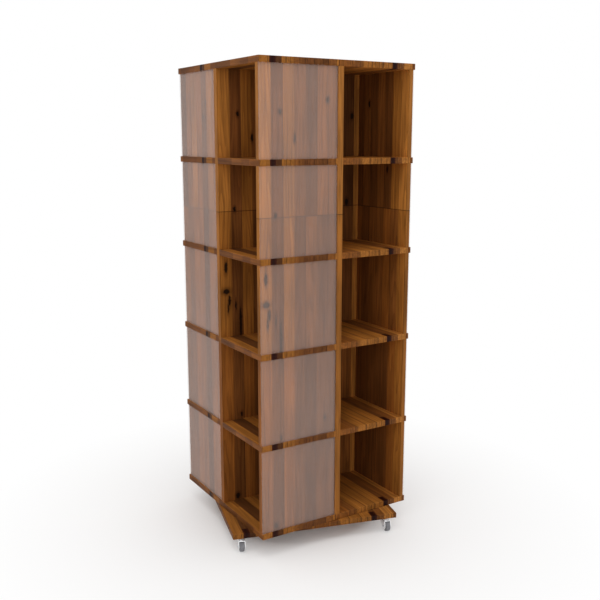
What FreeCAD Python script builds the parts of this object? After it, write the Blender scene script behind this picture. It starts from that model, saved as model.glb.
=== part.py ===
"""Rotating media tower: a square tower of record compartments on a castered base.

Frame: millimetres, +Z up, origin on the floor under the spin axis.  The tower's
faces are square to X and Y; the base board is turned under it by base_turn.
Each face of the tower has a closed left half (a wall board behind a milky pane)
and an open right half (the mouth of a compartment), four times round.
"""
import FreeCAD, Part

import math
import os
import Sketcher
from FreeCAD import Placement, Rotation, Vector

# Driving dimensions in millimetres: (alias, value, what it is)
SIZES = (
    # tower boards
    ("tower_side", 660.0, "side of the square top, bottom and shelves"),
    ("board_thick", 22.0, "thickness of shelves, dividers, top and bottom"),
    ("tier_clear", 318.5, "clear height of one compartment"),
    ("arris", 0.8, "chamfer that eases the edges of the boards"),
    ("joint_gap", 0.1, "clearance in slots, housings and mortises"),
    # closed half of each face
    ("pane_lip", 3.5, "board edge left in front of the pane"),
    ("pane_thick", 5.0, "thickness of the milky pane"),
    ("pane_gap", 0.25, "gap between the pane and the wall board"),
    ("pane_inset", 2.0, "pane edge back from the tower corner"),
    ("wall_thick", 16.0, "thickness of the wall boards"),
    ("housing_deep", 4.0, "depth of the housing for wall and pane"),
    ("housing_stop", 6.0, "solid board left between housing and corner"),
    # dowels between the dividers and the top and bottom
    ("dowel_wide", 8.0, "diameter of a dowel"),
    ("dowel_in_panel", 12.0, "dowel length inside top or bottom"),
    ("dowel_in_divider", 28.0, "dowel length inside a divider"),
    ("dowel_inset", 60.0, "dowel back from each end of a divider"),
    ("dowel_fit", 0.1, "diameter clearance of a dowel hole"),
    # base board
    ("base_side", 659.0, "side of the square base board"),
    ("base_thick", 20.0, "thickness of the base board"),
    ("base_turn", -15.0, "turn of the base under the tower, degrees"),
    ("running_gap", 1.0, "gap between base board and tower"),
    ("access_wide", 20.0, "screwdriver hole through the base board"),
    # ring bearing let into base and tower
    ("recess_deep", 4.0, "depth of the bearing recess in each board"),
    ("recess_clear", 2.0, "radial room round the bearing"),
    ("ball_circle", 130.5, "radius of the circle of balls"),
    ("ring_wide", 18.5, "radial width of each ring"),
    ("ball_wide", 5.0, "diameter of a ball"),
    ("ball_room", 0.3, "clearance between ball and groove"),
    ("ring_split", 2.0, "radial gap between the two rings"),
    ("ring_float", 0.5, "height left free over and under the rings"),
    ("cage_thick", 0.8, "thickness of the ball cage"),
    ("cage_edge", 0.7, "cage back from the ring faces"),
    ("cage_room", 0.15, "clearance between ball and cage pocket"),
    # wood screws
    ("screw_wide", 4.0, "shank diameter"),
    ("screw_head", 8.0, "head diameter"),
    ("screw_head_high", 2.4, "head height"),
    ("screw_crown", 4.0, "flat on top of a domed head"),
    ("ring_screw_grip", 8.0, "screw length in the wood under a ring"),
    ("caster_screw_grip", 12.0, "screw length in the wood over a caster"),
    ("screw_fit", 0.1, "diameter clearance of a pilot hole"),
    ("screw_pass", 0.5, "diameter clearance of a hole in metal"),
    # casters
    ("caster_high", 56.0, "floor to underside of base board"),
    ("caster_inset", 37.0, "kingpin back from two edges of the base"),
    ("caster_trail", 24.0, "kingpin to wheel axle"),
    ("swing_left", -5.0, "swivel at rest of the left casters, degrees"),
    ("swing_right", 3.0, "swivel at rest of the right casters, degrees"),
    ("plate_side", 40.0, "side of the top plate"),
    ("plate_thick", 2.5, "thickness of the top plate"),
    ("plate_round", 4.0, "corner radius of the top plate"),
    ("plate_hole_back", 6.5, "screw hole back from the plate edges"),
    ("race_wide", 23.0, "diameter of the swivel race"),
    ("race_bore", 15.0, "inner diameter of the swivel race"),
    ("race_high", 4.8, "depth of the upper race under the plate"),
    ("swivel_gap", 0.3, "running gap in the swivel"),
    ("kingpin_wide", 8.0, "diameter of the kingpin"),
    ("kingpin_head", 12.0, "diameter of the kingpin head"),
    ("kingpin_head_high", 2.0, "height of the kingpin head"),
    ("pin_fit", 0.1, "radial clearance of kingpin and axle"),
    ("fork_wide", 26.0, "width over the fork legs"),
    ("fork_sheet", 2.5, "sheet thickness of the fork"),
    ("fork_bend", 3.0, "outside bend radius of the fork"),
    ("fork_back", 12.5, "fork behind the kingpin"),
    ("fork_front", 7.0, "crown in front of the axle"),
    ("fork_skirt", 6.0, "straight drop of the leg at the back"),
    ("fork_tip", 13.0, "radius of the leg end round the axle"),
    ("crown_over_wheel", 1.7, "gap between wheel and fork crown"),
    ("wheel_wide", 40.0, "wheel diameter"),
    ("tread_wide", 17.5, "tread width"),
    ("tread_bevel", 2.0, "bevel of the tread shoulders"),
    ("tyre_deep", 6.5, "radial depth of the tyre"),
    ("web_wide", 11.5, "width of the wheel web"),
    ("hub_wide", 14.0, "diameter of the wheel hub"),
    ("hub_side_gap", 0.5, "gap between hub and fork leg"),
    ("axle_wide", 5.0, "diameter of the axle"),
    ("axle_head", 9.0, "diameter of the axle heads"),
    ("axle_head_high", 2.2, "height of the axle heads"),
    ("axle_head_edge", 1.2, "draw-in of the domed axle head"),
)
TIERS = 5                # compartments one above another
BALLS = 18               # balls in the ring bearing
RING_SCREWS = 8          # screws in each bearing ring
FACES = ("front", "right", "back", "left")
CORNERS = (("front_left", -1, -1), ("front_right", 1, -1),
           ("back_right", 1, 1), ("back_left", -1, 1))
FULL_TURN = 360.0
QUARTER = FULL_TURN / len(FACES)
PAST = 5.0               # how far a through cut runs past a face
NEAR = 0.01              # how near an edge counts as lying on a face

# Worked-out sizes, as expressions over the sheet
S = "Sizes."
HALF = S + "tower_side / 2"
HALF_BOARD = S + "board_thick / 2"
PITCH = "(" + S + "tier_clear + " + S + "board_thick)"
BASE_TOP = "(" + S + "caster_high + " + S + "base_thick)"
TOWER_FOOT = "(" + BASE_TOP + " + " + S + "running_gap)"
FIRST_TIER = "(" + TOWER_FOOT + " + " + S + "board_thick)"
INNER_HIGH = "(%d * %s - %sboard_thick)" % (TIERS, PITCH, S)
WING = "(" + HALF + " - " + HALF_BOARD + ")"
LAP = "(" + WING + " / 2)"
SLOT_HALF = "(" + HALF_BOARD + " + " + S + "joint_gap)"
TONGUE = "(" + S + "housing_deep - " + S + "joint_gap)"
PANE_BACK = "(" + S + "pane_lip + " + S + "pane_thick)"
WALL_BACK = "(" + PANE_BACK + " + " + S + "pane_gap + " + S + "wall_thick)"
RING_HIGH = "(2 * %srecess_deep + %srunning_gap - %sring_float)" % (S, S, S)
BALL_HIGH = "(" + S + "recess_deep + " + S + "running_gap / 2)"
SPLIT_OUT = "(" + S + "ball_circle + " + S + "ring_split / 2)"
SPLIT_IN = "(" + S + "ball_circle - " + S + "ring_split / 2)"
RING_OUTER = "(" + SPLIT_OUT + " + " + S + "ring_wide)"
RING_INNER = "(" + SPLIT_IN + " - " + S + "ring_wide)"
OUTER_SCREWS = "(" + SPLIT_OUT + " + " + S + "ring_wide / 2)"
INNER_SCREWS = "(" + SPLIT_IN + " - " + S + "ring_wide / 2)"
RECESS = "(" + RING_OUTER + " + " + S + "recess_clear)"
BEARING_FLOOR = "(" + BASE_TOP + " - " + S + "recess_deep)"
PLATE_UNDER = "(" + S + "caster_high - " + S + "plate_thick)"
RACE_UNDER = "(" + PLATE_UNDER + " - " + S + "race_high)"
CROWN_UNDER = "(" + S + "wheel_wide + " + S + "crown_over_wheel)"
CROWN_TOP = "(" + CROWN_UNDER + " + " + S + "fork_sheet)"
WHEEL_R = "(" + S + "wheel_wide / 2)"
PLATE_HOLE = "(" + S + "plate_side / 2 - " + S + "plate_hole_back)"
CASTER_OUT = "(" + S + "base_side / 2 - " + S + "caster_inset)"

doc = FreeCAD.newDocument("RotatingMediaTower")
sheet = doc.addObject("Spreadsheet::Sheet", "Sizes")
for row, (alias, value, meaning) in enumerate(SIZES, start=1):
    sheet.set("A%d" % row, meaning)
    sheet.set("B%d" % row, str(value))
    sheet.setAlias("B%d" % row, alias)
doc.recompute()

parts = []


# ---------------------------------------------------------------- helpers

def number(expression):
    """The present value of an expression over the sheet."""
    return float(sheet.evalExpression(expression))


def origin_feature(body, role):
    """One of the body's own origin planes or axes."""
    return [f for f in body.Origin.OriginFeatures if f.Role == role][0]


def new_body(name, x="0", y="0", z="0", turn="0"):
    """A body whose Label names its file, placed by expressions."""
    body = doc.addObject("PartDesign::Body", name)
    body.Label = name
    body.setExpression(
        "Placement",
        "create(<<placement>>; create(<<vector>>; %s; %s; %s); "
        "create(<<rotation>>; create(<<vector>>; 0; 0; 1); %s))" % (x, y, z, turn))
    parts.append(body)
    return body


def new_sketch(body, plane, along=None, across=None, off=None):
    """A sketch on an origin plane, moved in its own axes by expressions."""
    sketch = body.newObject("Sketcher::SketchObject", body.Name + "_sketch")
    sketch.AttachmentSupport = [(origin_feature(body, plane), "")]
    sketch.MapMode = "FlatFace"
    for axis, expression in (("x", along), ("y", across), ("z", off)):
        if expression is not None:
            sketch.setExpression("AttachmentOffset.Base." + axis, expression)
    return sketch


def pin_point(sketch, line, x, y):
    """Dimension the start of a line from the sketch's origin."""
    for kind, expression in (("DistanceX", x), ("DistanceY", y)):
        rule = Sketcher.Constraint(kind, -1, 1, line, 1, number(expression))
        index = sketch.addConstraint(rule)
        sketch.setExpression("Constraints[%d]" % index, expression)


def polygon(sketch, corners):
    """A closed outline through corners given as pairs of expressions."""
    spots = [Vector(number(x), number(y), 0) for x, y in corners]
    first = sketch.GeometryCount
    count = len(corners)
    for i in range(count):
        sketch.addGeometry(Part.LineSegment(spots[i], spots[(i + 1) % count]), False)
    for i in range(count):
        after = first + (i + 1) % count
        sketch.addConstraint(Sketcher.Constraint("Coincident", first + i, 2, after, 1))
    for i, (x, y) in enumerate(corners):
        pin_point(sketch, first + i, x, y)


def rectangle(sketch, left, right, low, high):
    """An upright rectangle between four expressions."""
    polygon(sketch, ((left, low), (right, low), (right, high), (left, high)))


def circle(sketch, x, y, radius):
    """A circle with its centre and radius dimensioned."""
    spot = Vector(number(x), number(y), 0)
    ring = sketch.addGeometry(Part.Circle(spot, Vector(0, 0, 1), number(radius)), False)
    for kind, expression in (("DistanceX", x), ("DistanceY", y)):
        rule = Sketcher.Constraint(kind, -1, 1, ring, 3, number(expression))
        index = sketch.addConstraint(rule)
        sketch.setExpression("Constraints[%d]" % index, expression)
    index = sketch.addConstraint(Sketcher.Constraint("Radius", ring, number(radius)))
    sketch.setExpression("Constraints[%d]" % index, radius)


def pad(sketch, length, both_ways=False):
    """Raise a sketch along its normal, or half each way."""
    body = sketch.getParentGeoFeatureGroup()
    feature = body.newObject("PartDesign::Pad", body.Name + "_pad")
    feature.Profile = sketch
    feature.setExpression("Length", length)
    feature.Midplane = both_ways
    return feature


def pocket(sketch, length, up=False, both_ways=False):
    """Cut a sketch against its normal, along it (up), or half each way."""
    body = sketch.getParentGeoFeatureGroup()
    feature = body.newObject("PartDesign::Pocket", body.Name + "_pocket")
    feature.Profile = sketch
    feature.setExpression("Length", length)
    feature.Reversed = up
    feature.Midplane = both_ways
    return feature


def spin(sketch, kind="Revolution", axis="V_Axis"):
    """Revolve (or groove) a sketch a full turn about one of its own axes."""
    body = sketch.getParentGeoFeatureGroup()
    feature = body.newObject("PartDesign::" + kind, body.Name + "_" + kind.lower())
    feature.Profile = sketch
    feature.ReferenceAxis = (sketch, [axis])
    feature.Angle = FULL_TURN
    return feature


def polar(features, count):
    """Repeat features round the body's Z axis."""
    body = features[0].getParentGeoFeatureGroup()
    pattern = body.newObject("PartDesign::PolarPattern", body.Name + "_polar")
    pattern.Originals = features
    pattern.Axis = (origin_feature(body, "Z_Axis"), [""])
    pattern.Angle = FULL_TURN
    pattern.Occurrences = count
    body.Tip = pattern
    return pattern


def stack(features, count):
    """Repeat features up the tower, one tier pitch apart."""
    body = features[0].getParentGeoFeatureGroup()
    pattern = body.newObject("PartDesign::LinearPattern", body.Name + "_stack")
    pattern.Originals = features
    pattern.Direction = (origin_feature(body, "Z_Axis"), [""])
    pattern.setExpression("Length", "%d * %s" % (count - 1, PITCH))
    pattern.Occurrences = count
    body.Tip = pattern
    return pattern


def edges_where(shape, test):
    """Names of the edges whose bounding box passes a test."""
    found = []
    for index, edge in enumerate(shape.Edges, start=1):
        if test(edge.BoundBox):
            found.append("Edge%d" % index)
    return found


def dress(base, kind, size, test):
    """Chamfer or fillet the edges of a feature that pass a test."""
    doc.recompute()
    body = base.getParentGeoFeatureGroup()
    feature = body.newObject("PartDesign::" + kind, body.Name + "_" + kind.lower())
    feature.Base = (base, edges_where(base.Shape, test))
    feature.setExpression("Radius" if kind == "Fillet" else "Size", size)
    doc.recompute()
    return feature


def square_board(body, side, thick):
    """A square board on the XY plane with eased edges."""
    sketch = new_sketch(body, "XY_Plane")
    half = side + " / 2"
    rectangle(sketch, "-" + half, half, "-" + half, half)
    return dress(pad(sketch, thick), "Chamfer", S + "arris", lambda box: True)


# ---------------------------------------------------------------- tower boards

def house_walls(body, face_high, up):
    """Stopped housings for the four wall boards and their panes."""
    sketch = new_sketch(body, "XY_Plane", off=face_high)
    rectangle(sketch, "-%s + %shousing_stop" % (HALF, S), "-" + HALF_BOARD,
              "-%s + %spane_lip" % (HALF, S), "-%s + %s" % (HALF, WALL_BACK))
    polar([pocket(sketch, S + "housing_deep", up=up)], len(FACES))


def dowel_spots():
    """Distances of the two dowels of a divider from the spin axis."""
    return ("%s - %sdowel_inset" % (HALF, S), "%s + %sdowel_inset" % (HALF_BOARD, S))


def drill_dowels(body, face_high, up):
    """Blind dowel holes for the four dividers in the top or bottom."""
    sketch = new_sketch(body, "XY_Plane", off=face_high)
    for spot in dowel_spots():
        circle(sketch, "0", "-(%s)" % spot, "(%sdowel_wide + %sdowel_fit) / 2" % (S, S))
    polar([pocket(sketch, S + "dowel_in_panel", up=up)], len(FACES))


def make_top():
    """Top board: housings and dowel holes underneath."""
    body = new_body("top_panel", z="%s + %s" % (FIRST_TIER, INNER_HIGH))
    square_board(body, S + "tower_side", S + "board_thick")
    house_walls(body, "0", up=True)
    drill_dowels(body, "0", up=True)


def make_bottom():
    """Bottom board: housings above, bearing recess and pilot holes below."""
    body = new_body("bottom_panel", z=TOWER_FOOT)
    square_board(body, S + "tower_side", S + "board_thick")
    house_walls(body, S + "board_thick", up=False)
    drill_dowels(body, S + "board_thick", up=False)
    recess = new_sketch(body, "XY_Plane")
    circle(recess, "0", "0", RECESS)
    pocket(recess, S + "recess_deep", up=True)
    pilots = new_sketch(body, "XY_Plane", off=S + "recess_deep")
    circle(pilots, "0", INNER_SCREWS, "(%sscrew_wide + %sscrew_fit) / 2" % (S, S))
    polar([pocket(pilots, S + "ring_screw_grip", up=True)], RING_SCREWS)


def make_shelves():
    """Shelves: slots half-lapped with the dividers, a mortise for the post."""
    for tier in range(1, TIERS):
        body = new_body("shelf_%d" % tier, z="%s + %d * %s - %sboard_thick"
                        % (FIRST_TIER, tier, PITCH, S))
        square_board(body, S + "tower_side", S + "board_thick")
        slot = new_sketch(body, "XY_Plane")
        rectangle(slot, "-" + SLOT_HALF, SLOT_HALF, "-%s - %g" % (HALF, PAST),
                  "-%s + %s + %sjoint_gap" % (HALF, LAP, S))
        polar([pocket(slot, S + "board_thick", up=True)], len(FACES))
        mortise = new_sketch(body, "XY_Plane")
        rectangle(mortise, "-" + SLOT_HALF, SLOT_HALF, "-" + SLOT_HALF, SLOT_HALF)
        pocket(mortise, S + "board_thick", up=True)
        house_walls(body, "0", up=True)
        house_walls(body, S + "board_thick", up=False)


def make_post():
    """Square post on the spin axis that the dividers are glued to."""
    body = new_body("centre_post", z=FIRST_TIER)
    sketch = new_sketch(body, "XY_Plane")
    rectangle(sketch, "-" + HALF_BOARD, HALF_BOARD, "-" + HALF_BOARD, HALF_BOARD)
    pad(sketch, INNER_HIGH)


def make_dividers():
    """Full-height dividers, slotted from the inside to lap over the shelves."""
    for turn, face in enumerate(FACES):
        body = new_body("divider_" + face, z=FIRST_TIER, turn="%g" % (QUARTER * turn))
        blank = new_sketch(body, "YZ_Plane")
        rectangle(blank, "-" + HALF, "-" + HALF_BOARD, "0", INNER_HIGH)
        pad(blank, S + "board_thick", both_ways=True)
        slot = new_sketch(body, "YZ_Plane")
        rectangle(slot, "-%s + %s" % (HALF, LAP), "-%s + %g" % (HALF_BOARD, PAST),
                  "%stier_clear - %sjoint_gap" % (S, S), "%s + %sjoint_gap" % (PITCH, S))
        stack([pocket(slot, "2 * %sboard_thick" % S, both_ways=True)], TIERS - 1)
        for end_high, up in (("0", True), (INNER_HIGH, False)):
            holes = new_sketch(body, "XY_Plane", off=end_high)
            for spot in dowel_spots():
                circle(holes, "0", "-(%s)" % spot,
                       "(%sdowel_wide + %sdowel_fit) / 2" % (S, S))
            pocket(holes, S + "dowel_in_divider", up=up)


def tongued(sketch, start):
    """Outline of a wall or pane with tongues for the housings."""
    stop = "-%s + %shousing_stop" % (HALF, S)
    low = "-" + TONGUE
    high = "%stier_clear + %s" % (S, TONGUE)
    end = "-" + HALF_BOARD
    top = S + "tier_clear"
    polygon(sketch, ((start, "0"), (stop, "0"), (stop, low), (end, low),
                     (end, high), (stop, high), (stop, top), (start, top)))


def make_walls():
    """Wall boards, one in each closed half of each tier."""
    for turn, face in enumerate(FACES):
        for tier in range(TIERS):
            body = new_body("wall_%s_%d" % (face, tier + 1),
                            z="%s + %d * %s" % (FIRST_TIER, tier, PITCH),
                            turn="%g" % (QUARTER * turn))
            sketch = new_sketch(body, "XZ_Plane", off="%s - %s" % (HALF, WALL_BACK))
            tongued(sketch, "-" + HALF)
            pad(sketch, S + "wall_thick")


def make_panes():
    """Milky panes in front of the wall boards, one stack on each face."""
    for turn, face in enumerate(FACES):
        body = new_body("panes_" + face, z=FIRST_TIER, turn="%g" % (QUARTER * turn))
        body.AllowCompound = True
        sketch = new_sketch(body, "XZ_Plane", off="%s - %s" % (HALF, PANE_BACK))
        tongued(sketch, "-%s + %spane_inset" % (HALF, S))
        stack([pad(sketch, S + "pane_thick")], TIERS)


def make_dowels():
    """Dowels between the dividers and the top and bottom boards."""
    body = new_body("divider_dowels", z=FIRST_TIER)
    body.AllowCompound = True
    pegs = []
    for low in ("-%sdowel_in_panel" % S, "%s - %sdowel_in_divider" % (INNER_HIGH, S)):
        sketch = new_sketch(body, "XY_Plane", off=low)
        for spot in dowel_spots():
            circle(sketch, "0", "-(%s)" % spot, S + "dowel_wide / 2")
        pegs.append(pad(sketch, "%sdowel_in_panel + %sdowel_in_divider" % (S, S)))
    polar(pegs, len(FACES))


# ---------------------------------------------------------------- ring bearing

def ring_blank(body, inner, outer, low, high):
    """A flat ring with a V groove for the balls cut all round it."""
    blank = new_sketch(body, "XZ_Plane")
    rectangle(blank, inner, outer, low, high)
    spin(blank)
    groove = new_sketch(body, "XZ_Plane")
    middle = S + "ball_circle"
    reach = "(%sball_wide / 2 + %sball_room) * sqrt(2)" % (S, S)
    polygon(groove, ((middle + " - " + reach, BALL_HIGH), (middle, BALL_HIGH + " - " + reach),
                     (middle + " + " + reach, BALL_HIGH), (middle, BALL_HIGH + " + " + reach)))
    spin(groove, kind="Groove")


def countersink(body, circle_radius, head_face, down):
    """Screw holes round a ring, countersunk from the face the heads sit in."""
    hole = new_sketch(body, "YZ_Plane", along=circle_radius, across=head_face)
    side = "-1" if down else "1"
    mouth = "(%sscrew_head + %sscrew_pass) / 2" % (S, S)
    shank = "(%sscrew_wide + %sscrew_pass) / 2" % (S, S)
    neck = "%s * %sscrew_head_high" % (side, S)
    far = "%s * (%s + %g)" % (side, RING_HIGH, PAST)
    polygon(hole, (("0", "0"), (mouth, "0"), (shank, neck), (shank, far), ("0", far)))
    polar([spin(hole, kind="Groove")], RING_SCREWS)


def ring_screws(name, circle_radius, head_face, down, z, turn="0"):
    """Countersunk screws of one ring; down means the tips point down."""
    body = new_body(name, z=z, turn=turn)
    body.AllowCompound = True
    sketch = new_sketch(body, "YZ_Plane", along=circle_radius, across=head_face)
    side = "-1" if down else "1"
    tip = "%s * (%s + %sring_screw_grip - %sscrew_fit)" % (side, RING_HIGH, S, S)
    neck = "%s * %sscrew_head_high" % (side, S)
    polygon(sketch, (("0", "0"), (S + "screw_head / 2", "0"),
                     (S + "screw_wide / 2", neck), (S + "screw_wide / 2", tip),
                     ("0", tip)))
    polar([spin(sketch)], RING_SCREWS)


def make_bearing():
    """Ring bearing: outer ring on the base, inner ring under the tower."""
    outer = new_body("bearing_outer_ring", z=BEARING_FLOOR, turn=S + "base_turn")
    ring_blank(outer, SPLIT_OUT, RING_OUTER, "0", RING_HIGH)
    countersink(outer, OUTER_SCREWS, RING_HIGH, down=True)
    inner = new_body("bearing_inner_ring", z=BEARING_FLOOR)
    ring_blank(inner, RING_INNER, SPLIT_IN, S + "ring_float",
               "%s + %sring_float" % (RING_HIGH, S))
    countersink(inner, INNER_SCREWS, S + "ring_float", down=False)
    ring_screws("bearing_base_screws", OUTER_SCREWS, RING_HIGH, down=True,
                z=BEARING_FLOOR, turn=S + "base_turn")
    ring_screws("bearing_tower_screws", INNER_SCREWS, S + "ring_float", down=False,
                z=BEARING_FLOOR)


def make_balls():
    """Balls and the thin cage that spaces them round the bearing."""
    balls = new_body("bearing_balls", z=BEARING_FLOOR)
    balls.AllowCompound = True
    ball = balls.newObject("PartDesign::AdditiveSphere", "ball")
    ball.AttachmentSupport = [(origin_feature(balls, "XY_Plane"), "")]
    ball.MapMode = "FlatFace"
    ball.setExpression("Radius", S + "ball_wide / 2")
    ball.setExpression("AttachmentOffset.Base.x", S + "ball_circle")
    ball.setExpression("AttachmentOffset.Base.z", BALL_HIGH)
    polar([ball], BALLS)
    cage = new_body("bearing_cage", z=BEARING_FLOOR)
    strip = new_sketch(cage, "XZ_Plane")
    half_strip = "%scage_thick / 2" % S
    rectangle(strip, "%sball_circle - %s" % (S, half_strip),
              "%sball_circle + %s" % (S, half_strip),
              "%sring_float + %scage_edge" % (S, S), "%s - %scage_edge" % (RING_HIGH, S))
    spin(strip)
    window = new_sketch(cage, "YZ_Plane", off=S + "ball_circle")
    circle(window, "0", BALL_HIGH, "%sball_wide / 2 + %scage_room" % (S, S))
    polar([pocket(window, S + "ring_split", both_ways=True)], BALLS)


# ---------------------------------------------------------------- base board

def plate_holes(sketch, radius):
    """The four screw spots of the caster plate on a corner of the base."""
    for x_side in ("-", "+"):
        for y_side in ("-", "+"):
            circle(sketch, "-%s %s %s" % (CASTER_OUT, x_side, PLATE_HOLE),
                   "-%s %s %s" % (CASTER_OUT, y_side, PLATE_HOLE), radius)


def make_base():
    """Base board: bearing recess above, pilot holes for rings and casters."""
    body = new_body("base_panel", z=S + "caster_high", turn=S + "base_turn")
    square_board(body, S + "base_side", S + "base_thick")
    recess = new_sketch(body, "XY_Plane", off=S + "base_thick")
    circle(recess, "0", "0", RECESS)
    pocket(recess, S + "recess_deep")
    ring_pilots = new_sketch(body, "XY_Plane",
                             off="%sbase_thick - %srecess_deep" % (S, S))
    pilot = "(%sscrew_wide + %sscrew_fit) / 2" % (S, S)
    circle(ring_pilots, "0", OUTER_SCREWS, pilot)
    polar([pocket(ring_pilots, S + "ring_screw_grip")], RING_SCREWS)
    caster_pilots = new_sketch(body, "XY_Plane")
    plate_holes(caster_pilots, pilot)
    polar([pocket(caster_pilots, S + "caster_screw_grip", up=True)], len(CORNERS))
    access = new_sketch(body, "XY_Plane")
    circle(access, "0", "-" + INNER_SCREWS, S + "access_wide / 2")
    pocket(access, S + "base_thick", up=True)


def make_caster_screws():
    """Domed screws that hold the four caster plates to the base board."""
    body = new_body("caster_screws", z=PLATE_UNDER, turn=S + "base_turn")
    body.AllowCompound = True
    screws = []
    for x_side in ("-", "+"):
        for y_side in ("-", "+"):
            sketch = new_sketch(body, "XZ_Plane",
                                along="-%s %s %s" % (CASTER_OUT, x_side, PLATE_HOLE),
                                off="%s %s %s" % (CASTER_OUT, y_side, PLATE_HOLE))
            dome = "-%sscrew_head_high" % S
            tip = "%splate_thick + %scaster_screw_grip - %sscrew_fit" % (S, S, S)
            polygon(sketch, (("0", dome), (S + "screw_crown / 2", dome),
                             (S + "screw_head / 2", "%s / 2" % dome),
                             (S + "screw_head / 2", "0"), (S + "screw_wide / 2", "0"),
                             (S + "screw_wide / 2", tip), ("0", tip)))
            screws.append(spin(sketch))
    polar(screws, len(CORNERS))


# ---------------------------------------------------------------- casters

def caster_body(name, x_sign, y_sign, swivels=True):
    """A body whose own Z axis is one caster's kingpin, on the floor."""
    x = "%d * %s" % (x_sign, CASTER_OUT)
    y = "%d * %s" % (y_sign, CASTER_OUT)
    base = S + "base_turn"
    swing = S + ("swing_left" if x_sign < 0 else "swing_right")
    return new_body(name, x="%s * cos(%s) - %s * sin(%s)" % (x, base, y, base),
                    y="%s * sin(%s) + %s * cos(%s)" % (x, base, y, base),
                    turn="%s + %s" % (base, swing) if swivels else base)


def make_plate(corner, x_sign, y_sign):
    """Top plate with the pressed upper race and the riveted kingpin."""
    body = caster_body("caster_plate_" + corner, x_sign, y_sign, swivels=False)
    blank = new_sketch(body, "XY_Plane", off=PLATE_UNDER)
    half = S + "plate_side / 2"
    rectangle(blank, "-" + half, half, "-" + half, half)
    thick = number(S + "plate_thick")
    dress(pad(blank, S + "plate_thick"), "Fillet", S + "plate_round",
          lambda box: abs(box.ZLength - thick) < NEAR)
    holes = new_sketch(body, "XY_Plane", off=PLATE_UNDER)
    for x_side in ("-", ""):
        for y_side in ("-", ""):
            circle(holes, x_side + PLATE_HOLE, y_side + PLATE_HOLE,
                   "(%sscrew_wide + %sscrew_pass) / 2" % (S, S))
    pocket(holes, S + "plate_thick", up=True)
    race = new_sketch(body, "XZ_Plane")
    rectangle(race, S + "race_bore / 2", S + "race_wide / 2", RACE_UNDER,
              "%s + %splate_thick / 2" % (PLATE_UNDER, S))
    spin(race)
    pin = new_sketch(body, "XZ_Plane")
    head_top = "%s - %sswivel_gap" % (CROWN_UNDER, S)
    head_low = "%s - %skingpin_head_high" % (head_top, S)
    polygon(pin, (("0", head_low), (S + "kingpin_wide / 2", head_low),
                  (S + "kingpin_head / 2", "%s - %skingpin_head_high / 2" % (head_top, S)),
                  (S + "kingpin_head / 2", head_top), (S + "kingpin_wide / 2", head_top),
                  (S + "kingpin_wide / 2", "%s + %splate_thick / 2" % (PLATE_UNDER, S)),
                  ("0", "%s + %splate_thick / 2" % (PLATE_UNDER, S))))
    spin(pin)


def tangent_point(centre, radius, spot, side):
    """Where a line from a spot touches a circle; side is +1 or -1."""
    to_spot = spot - centre
    angle = math.atan2(to_spot.y, to_spot.x) + side * math.acos(radius / to_spot.Length)
    return centre + Vector(math.cos(angle), math.sin(angle), 0) * radius


def fork_side(sketch):
    """Side outline of a fork leg: crown, skirt and a round end at the axle."""
    skirt_low = "%s - %sfork_skirt" % (CROWN_TOP, S)
    front = "-(%scaster_trail + %sfork_front)" % (S, S)
    corners = ((front, CROWN_TOP), (S + "fork_back", CROWN_TOP),
               (S + "fork_back", skirt_low))
    spots = [Vector(number(x), number(y), 0) for x, y in corners]
    axle = Vector(-number(S + "caster_trail"), number(WHEEL_R), 0)
    tip = number(S + "fork_tip")
    front_end = tangent_point(axle, tip, spots[0], 1)
    back_end = tangent_point(axle, tip, spots[2], -1)
    outline = [front_end] + spots + [back_end]
    for start, end in zip(outline, outline[1:]):
        sketch.addGeometry(Part.LineSegment(start, end), False)
    lowest = axle - Vector(0, tip, 0)
    arc = sketch.addGeometry(Part.Arc(front_end, lowest, back_end), False)
    add = sketch.addConstraint
    for line in range(len(corners)):
        add(Sketcher.Constraint("Coincident", line, 2, line + 1, 1))
    add(Sketcher.Constraint("Tangent", 0, 1, arc, 1))
    add(Sketcher.Constraint("Tangent", len(corners), 2, arc, 2))
    for line, (x, y) in enumerate(corners, start=1):
        pin_point(sketch, line, x, y)
    for kind, expression in (("DistanceX", "-%scaster_trail" % S), ("DistanceY", WHEEL_R)):
        index = add(Sketcher.Constraint(kind, -1, 1, arc, 3, number(expression)))
        sketch.setExpression("Constraints[%d]" % index, expression)
    index = add(Sketcher.Constraint("Radius", arc, tip))
    sketch.setExpression("Constraints[%d]" % index, S + "fork_tip")


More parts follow.
